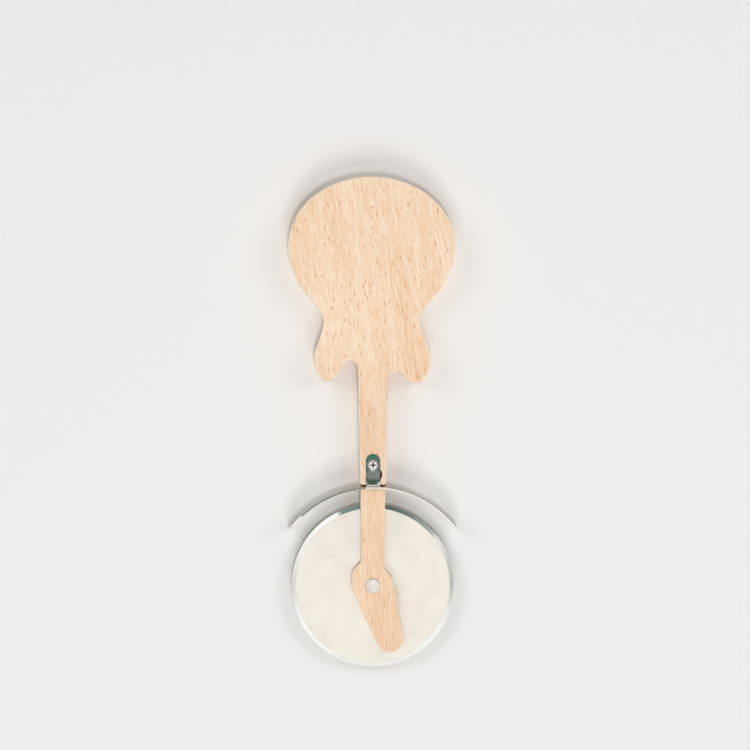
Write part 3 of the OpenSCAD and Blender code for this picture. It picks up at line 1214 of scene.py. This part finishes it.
            # The two strokes of the shear meet in a short step at the notch's left corner
            for side in (-1, 1):
                rim = [f for f in bm.faces if f.calc_center_median().z > self.width - LEVEL]
                divide(bm, rim, (self.shear_x + side * self.shear_step / 2, 0, 0), (1, 0, 0))
            for v in bm.verts:
                # The rounded tips lean with the edge, less and less down their sides
                at_tip = abs(v.co.x) > self.span / 2 - self.corner_r
                down = self.width - v.co.z
                if down < (self.corner_r if at_tip else LEVEL):
                    lean = self.lean(v.co.x)
                    inner = math.hypot(v.co.x, v.co.y - self.out_y + self.out_r) < middle_r
                    roll = self.die_roll * (1 - down / self.corner_r)
                    v.co.z -= roll * max(0, lean if inner else -lean)

    def lean(self, x: float) -> float:
        """How far the front edge leans at a place along the guard.

        Args:
            x: the distance right of the middle.

        Returns:
            1 for a full lean towards the wheel, -1 for a full lean outwards.
        """
        if x > self.shear_x:
            return 1
        start, end = self.lean_grows
        share = max(0, min(1, (x - start) / (end - start)))
        return -self.left_lean - (1 - self.left_lean) * share

    def face_outwards(self, guard: bpy.types.Object) -> None:
        """Turns the sheet's faces so that they point away from the wheel.

        Args:
            guard: the guard, before it is thickened.
        """
        with opened(guard) as bm:
            outer = max(bm.faces, key=lambda f: f.calc_center_median().x)
            if outer.normal.x < 0:
                bmesh.ops.reverse_faces(bm, faces=bm.faces)

    def washer(self) -> BMesh:
        """A punched ring with a rolled rim, its top pressed into a flat cone.

        Returns:
            The closed mesh.
        """
        r, t, soft = self.washer_d / 2, self.washer_t, 0.08
        rim_t = t - self.washer_drop
        return turned([
            (self.hole_r, 0),
            (r - 0.05, 0),
            (r, 0.05),
            *quarter_round((r - soft, rim_t - soft), soft, 0),
            (r - soft - 0.04, rim_t + 0.004),
            (self.hole_r + 0.19, t - 0.004),
            (self.hole_r + 0.15, t),
            (self.hole_r + 0.1, t),
            (self.hole_r, t - 0.1),
        ])

    def screw(self, seat: Vector) -> bpy.types.Object:
        """A pan-head screw with a cross recess.

        Args:
            seat: where the underside of its head lies.

        Returns:
            The screw, in millimetres.
        """
        head_r, flat_r = self.head_d / 2 - 0.1, self.head_d * 0.27
        shoulder = [
            (
                flat_r + (head_r - flat_r) * math.cos(math.radians(a)),
                0.55 + (self.head_h - 0.6) * math.sin(math.radians(a)),
            )
            for a in range(0, 91, 10)
        ]
        shank = self.shank_d / 2
        point = self.shank_len - self.shank_d
        screw = blank(
            turned([
                (0, -self.shank_len),
                (shank * 0.2, -self.shank_len + 0.1),
                (shank, -point),
                (shank, 0),
                (head_r - 0.1, 0),
                (head_r, 0.12),
                *shoulder,
                (0, self.head_h),
            ]),
            "cross_recess_screw",
        )
        # The recess's faces are marked for the painted shade
        carve(screw, mark_faces(blank(self.recess(), "recess")))
        screw.data.transform(Matrix.Translation(seat))
        return screw

    def recess(self) -> BMesh:
        """A cross that narrows towards its bottom, as a driver's tip does.

        Returns:
            The closed mesh.
        """
        reach, half = self.recess_reach, self.recess_half
        corners = [
            (reach, -half), (reach, half), (half, half), (half, reach),
            (-half, reach), (-half, half), (-reach, half), (-reach, -half),
            (-half, -half), (-half, -reach), (half, -reach), (half, -half),
        ]
        floor = self.head_h - self.recess_depth
        bm = board([(x, y, 0.0) for x, y in corners], floor, self.head_h + 0.5)
        low = [v for v in bm.verts if v.co.z < self.head_h]
        bmesh.ops.scale(bm, vec=(self.recess_taper, self.recess_taper, 1), verts=low)
        return bm


@dataclass
class Wheel:
    """The cutting wheel, and the rivet and spacers on which it turns in the kerf."""

    radius: float = 40
    thickness: float = 1
    bevel_w: float = 2
    edge_t: float = 0.15
    crest_w: float = 0.3
    crest_h: float = 0.05
    bore_r: float = 2.58
    bore_chamfer: float = 0.08
    wheel_z: float = 7.5
    spacer_r: float = 5.5
    spacer_t: float = 0.7
    spacer_bore_r: float = 2.55
    kerf_w: float = 2.6
    leg_low: float = 3
    leg_high: float = 12
    head_r: float = 3.55
    head_h: float = 1.1
    tube_r: float = 2.5
    pin_r: float = 1.58
    tube_bore_r: float = 1.6
    tube_len: float = 7.9
    pin_len: float = 5.4

    def build(self, shop: Shop) -> None:
        """Makes the wheel, both spacers and both halves of the rivet.

        Args:
            shop: puts the finished pieces into the frame.
        """
        # Satin grinding spreads the light evenly, and the finely ground bevel mirrors the room
        satin = Steel(
            "satin_ground_stainless", "#E9E3DB", 0.6, Marks.TURNED, 0.35, 0.0012, 9, 0.05
        )
        ground = Steel("fine_ground_bevel", "#FDFDFB", 0.06, Marks.TURNED, 0.12, 0.0006)
        # Tumbling leaves the rivet heads soft and faintly uneven
        tumbled = Steel(
            "tumbled_rivet_steel", "#E5DFDB", 0.6, Marks.TUMBLED, 0.9, 0.03, 3, 0.1, 0.16
        )
        wheel = blank(self.wheel(), "cutting_wheel", Vector((0, 0, self.wheel_z)))
        finishes = [satin.material(shop.axle), ground.material(shop.axle)]
        shop.fit(wheel, finishes, "wheel", ["blade"], sharp=8)
        nylon = Nylon().material()
        for side, name in ((1, "front"), (-1, "back")):
            middle = self.wheel_z + side * (self.kerf_w - self.spacer_t) / 2
            ring = blank(self.spacer(), f"nylon_spacer_{name}", Vector((0, 0, middle)))
            shop.fit(ring, [nylon], "handle", [f"spacer_{name}"])
        metal = tumbled.material(shop.axle)
        front = blank(self.rivet_front(), "rivet_half_front", Vector((0, 0, self.leg_high)))
        shop.fit(front, [metal], "handle", ["rivet_front"])
        back = blank(self.rivet_back(), "rivet_half_back", Vector((0, 0, self.leg_low)))
        shop.fit(back, [metal], "handle", ["rivet_back"])

    def wheel(self) -> BMesh:
        """The disc with its ground bevels, whose crest stands a hair above the satin face.

        Returns:
            The closed mesh.
        """
        half, r, edge = self.thickness / 2, self.radius, self.edge_t / 2
        ground = r - self.bevel_w
        satin, crest = half - self.crest_h, ground - self.crest_w
        front = [
            (r, edge),
            (ground, half),
            (crest, satin),
            (self.bore_r + self.bore_chamfer, satin),
            (self.bore_r, satin - self.bore_chamfer),
        ]
        bm = turned([*((x, -z) for x, z in front[::-1]), *front], 288)
        lines = [
            e for e in bm.edges
            if all(abs(math.hypot(v.co.x, v.co.y) - ground) < 0.01 for v in e.verts)
            and abs(e.verts[0].co.z - e.verts[1].co.z) < SAME
        ]
        bevelled(bm, lines, 0.06, 2)
        for face in bm.faces:
            middle = face.calc_center_median()
            face.material_index = int(math.hypot(middle.x, middle.y) > ground)
        return bm

    def spacer(self) -> BMesh:
        """A punched ring with slightly rounded rims.

        Returns:
            The closed mesh.
        """
        half, r = self.spacer_t / 2, self.spacer_r
        return turned([
            (self.spacer_bore_r, -half),
            (r - 0.1, -half),
            (r, -half + 0.1),
            (r, half - 0.1),
            (r - 0.1, half),
            (self.spacer_bore_r, half),
        ], 96)

    def head(self) -> list[Point]:
        """Profile of a rivet head above its underside, from its rim to its middle.

        Returns:
            The radius and height of each point.
        """
        rim = self.head_h * 0.42
        return [
            (self.head_r - 0.06, 0),
            (self.head_r, 0.06),
            *quarter_round((self.head_r - rim, self.head_h - rim), rim, 0, 6),
            (self.head_r * 0.8, self.head_h - 0.05),
            (self.head_r * 0.74, self.head_h - 0.05),
            (0, self.head_h - 0.04),
        ]

    def rivet_front(self) -> BMesh:
        """The half with the pin, standing on the front of the leg."""
        pin = [(0, -self.pin_len), (self.pin_r, -self.pin_len), (self.pin_r, 0)]
        return turned([*pin, *self.head()], 96)

    def rivet_back(self) -> BMesh:
        """The half with the tube, its head under the back of the leg.

        Returns:
            The closed mesh.
        """
        head = [(r, -z) for r, z in self.head()]
        return turned([
            (0, self.tube_bore_r),
            (self.tube_bore_r, self.tube_bore_r),
            (self.tube_bore_r, self.tube_len),
            (self.tube_r, self.tube_len),
            (self.tube_r, 0),
            *head,
        ], 96)


# Studio


@dataclass
class Studio:
    """A pale table under soft lamps, and the camera above it."""

    camera_at: Corner = (-0.02894, 0.023, 1.6075)
    looks_at: Corner = (0.00109, 0.02304, 0.0075)
    lens: float = 155.6
    floor_colour: str = "#F4F3F1"
    floor_half: float = 4
    floor_z: float = -0.0003
    specks_per_metre: float = 600
    ambient: float = 0.28
    left_watts: float = 7.8
    right_watts: float = 7.3
    foot_watts: float = 27
    overhead_watts: float = 6.2
    # What metal mirrors overhead, in cones that fade out between two angles from the upright
    zones: tuple[tuple[float, float, str], ...] = ((16, 19, "#8D918D"), (4, 5.5, "#42786C"))
    # And low down, past a wider cone
    low_zone: Point = (46, 56)
    low_colour: str = "#F4F3F1"
    # And between them, by direction in degrees from straight ahead, clockwise
    room: tuple[tuple[float, str], ...] = (
        (-180, "#F0F0EE"), (-165, "#F2F2F0"), (-130, "#FCFCFA"), (-119, "#F2F2F0"),
        (-98, "#DCDCD8"), (-78, "#EEEEEC"), (-60, "#FAFAF8"), (-40, "#FFFFFF"), (-28, "#FFFFFF"),
        (-26, "#7F9390"), (-9, "#6E8880"), (-6, "#3B6150"), (6, "#3B6150"), (9, "#56665E"),
        (18, "#5A6A62"), (35, "#7A8680"), (58, "#B0B4AE"), (61, "#E8E8E4"), (68, "#E4E4E0"),
        (84, "#CACCC8"), (99, "#BEC0BC"), (113, "#E8E8E6"), (127, "#FCFCFA"), (180, "#F0F0EE"),
    )

    def build(self) -> None:
        """Sets the table, the lamps, the world and the camera."""
        self.floor()
        self.lamp("overhead_lamp", (0.05, -0.27, 1.68), 0.16, self.overhead_watts)
        # Metal mirrors the world in place of the softboxes, which only light the wood
        soft = (
            self.lamp("left_softbox", (-1.3, 0.6, 1.5), 1.0, self.left_watts),
            self.lamp("right_softbox", (1.3, 0.5, 1.5), 1.0, self.right_watts),
            self.lamp("foot_softbox", (0.1, -2.0, 2.3), 1.3, self.foot_watts),
        )
        for softbox in soft:
            softbox.visible_glossy = False
        self.world()
        self.camera()
        bpy.context.scene.view_settings.view_transform = "Standard"

    def floor(self) -> None:
        """A matt table top, far wider than the view."""
        bm = bmesh.new()
        bmesh.ops.create_grid(bm, x_segments=1, y_segments=1, size=self.floor_half)
        mesh = bpy.data.meshes.new("table_top")
        bm.to_mesh(mesh)
        bm.free()
        top = bpy.data.objects.new("table_top", mesh)
        top.location.z = self.floor_z
        bpy.context.scene.collection.objects.link(top)
        material = bpy.data.materials.new("matt_table")
        add = start_nodes(material)
        place = add("TexCoord").outputs["Object"]
        speck = add("TexNoise", {0: place, "Scale": self.specks_per_metre, "Detail": 2})
        bump = add("Bump", {"Height": speck, "Strength": 0.05, "Distance": 0.1 * MM})
        shader = add(
            "BsdfPrincipled",
            {
                "Base Color": linear(self.floor_colour), "Roughness": 0.85,
                "Specular IOR Level": 0.2, "Normal": bump,
            },
        )
        add("OutputMaterial", {"Surface": shader})
        mesh.materials.append(material)

    def lamp(self, name: str, place: Corner, size: float, watts: float) -> bpy.types.Object:
        """Hangs a square soft lamp that points at the wheel.

        Args:
            name: the lamp's name.
            place: where it hangs, in metres.
            size: its side, in metres.
            watts: its power.

        Returns:
            The lamp.
        """
        data = bpy.data.lights.new(name, "AREA")
        data.size = size
        data.energy = watts
        lamp = bpy.data.objects.new(name, data)
        lamp.location = place
        lamp.rotation_euler = (-Vector(place)).to_track_quat("-Z", "Y").to_euler()
        bpy.context.scene.collection.objects.link(lamp)
        return lamp

    def world(self) -> None:
        """Even light, white to the camera, and a room of its own for metal to mirror."""
        world = bpy.data.worlds.new("studio")
        bpy.context.scene.world = world
        add = start_nodes(world)
        way = add("TexCoord").outputs["Generated"]
        x, y, z = add("SeparateXYZ", {0: way}).outputs
        turn = add("Math", {0: x, 1: y}, operation="ARCTAN2")
        share = add("MapRange", {0: turn, 1: -math.pi, 2: math.pi})
        ramp = add("ValToRGB", {0: share})
        stops = ramp.color_ramp.elements
        for degrees, code in self.room[1:-1]:
            stops.new(degrees / 360 + 0.5).color = linear(code)
        stops[0].color, stops[-1].color = linear(self.room[0][1]), linear(self.room[-1][1])
        # The room ends in an even brightness low down, a grey ceiling, and the camera in it
        room = linear(self.low_colour)
        for inner, outer, tint in ((*self.low_zone, ramp), *self.zones):
            full, none = (math.cos(math.radians(angle)) for angle in (inner, outer))
            inside = add("MapRange", {0: z, 1: none, 2: full})
            colour = linear(tint) if isinstance(tint, str) else tint
            room = add("Mix", {0: inside, 6: room, 7: colour}, data_type="RGBA")
        light = add("Background", {"Color": (1, 0.995, 0.985, 1), "Strength": self.ambient})
        ray = add("LightPath")
        for seen_by, colour in (("Is Glossy Ray", room), ("Is Camera Ray", (1, 1, 1, 1))):
            seen = add("Background", {"Color": colour, "Strength": 1.0})
            light = add("MixShader", {0: ray.outputs[seen_by], 1: light, 2: seen})
        add("OutputWorld", {"Surface": light})

    def camera(self) -> None:
        """Stands the camera over the table, with the handle's length upright in the picture."""
        data = bpy.data.cameras.new("camera")
        data.lens = self.lens
        data.sensor_width = 36
        data.clip_start = 0.05
        data.clip_end = 20
        camera = bpy.data.objects.new("camera", data)
        back = (Vector(self.camera_at) - Vector(self.looks_at)).normalized()
        right = Vector((0, 1, 0)).cross(back).normalized()
        turn = Matrix((right, back.cross(right), back)).transposed()
        camera.matrix_world = Matrix.Translation(self.camera_at) @ turn.to_4x4()
        bpy.context.scene.collection.objects.link(camera)
        bpy.context.scene.camera = camera


def main() -> None:
    """Loads the frame, builds the sub-assemblies in order and sets the studio."""
    logging.basicConfig(level=logging.INFO, format="%(name)s: %(message)s")
    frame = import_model()
    low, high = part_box("blade")
    shop = Shop(axle=(low + high) / 2)
    LOG.info("frame: %d nodes, axle at y %.4f m", len(frame["nodes"]), shop.axle.y)
    for part in (Handle(), Guard(), Wheel()):
        part.build(shop)
    Studio().build()
    for spare in [m for m in bpy.data.materials if not m.users]:
        bpy.data.materials.remove(spare)
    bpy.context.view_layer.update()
    LOG.info("pieces: %s", ", ".join(shop.pieces))


if __name__ == "__main__":
    main()
